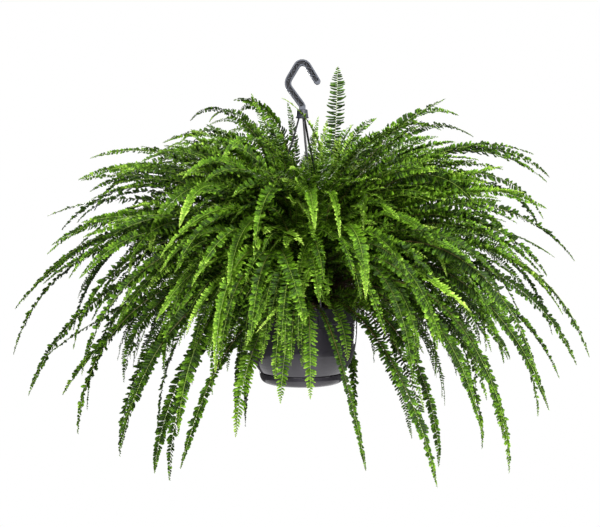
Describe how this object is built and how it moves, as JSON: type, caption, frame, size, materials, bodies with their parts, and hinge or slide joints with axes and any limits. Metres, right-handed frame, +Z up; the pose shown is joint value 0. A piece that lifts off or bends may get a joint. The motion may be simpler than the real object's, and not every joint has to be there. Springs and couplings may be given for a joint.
{
  "type": "hanging boston fern",
  "caption": "Boston fern with long arching fronds in a round plastic hanging pot with drip saucer, hung by an open hook on straps.",
  "frame": {"origin": "the seat inside the hook's bend, the point that hangs on a rod or a peg", "axes": "+Z up through the hook, collar and pot; +X to the right across the hook's flat side; -Y is the front"},
  "size_m": [1.1176, 1.0029, 0.8199],
  "materials": {
    "hook_plastic": "satin",
    "strap_plastic": "satin",
    "pot_plastic": "gloss",
    "saucer_plastic": "gloss",
    "peat": "matte",
    "rhizome": "matte",
    "leaf": "satin"
  },
  "bodies": {
    "root": {"crown": "rhizome", "drip_saucer": "saucer_plastic", "frond_01": "leaf", "frond_02": "leaf", "frond_03": "leaf", "frond_04": "leaf", "frond_05": "leaf", "frond_06": "leaf", "frond_07": "leaf", "frond_08": "leaf", "frond_09": "leaf", "frond_10": "leaf", "frond_11": "leaf", "frond_12": "leaf", "frond_13": "leaf", "frond_14": "leaf", "frond_15": "leaf", "frond_16": "leaf", "frond_17": "leaf", "frond_18": "leaf", "frond_19": "leaf", "frond_20": "leaf", "frond_21": "leaf", "frond_22": "leaf", "frond_23": "leaf", "frond_24": "leaf", "frond_25": "leaf", "frond_26": "leaf", "frond_27": "leaf", "frond_28": "leaf", "frond_29": "leaf", "frond_30": "leaf", "frond_31": "leaf", "frond_32": "leaf", "frond_33": "leaf", "frond_34": "leaf", "frond_35": "leaf", "frond_36": "leaf", "frond_37": "leaf", "frond_38": "leaf", "frond_39": "leaf", "frond_40": "leaf", "frond_41": "leaf", "frond_42": "leaf", "frond_43": "leaf", "frond_44": "leaf", "frond_45": "leaf", "frond_46": "leaf", "frond_47": "leaf", "frond_48": "leaf", "frond_49": "leaf", "frond_50": "leaf", "frond_51": "leaf", "frond_52": "leaf", "hanger_hook": "hook_plastic", "hanger_strap_1": "strap_plastic", "hanger_strap_2": "strap_plastic", "hanger_strap_3": "strap_plastic", "pot": "pot_plastic", "soil": "peat"}
  },
  "joints": []
}
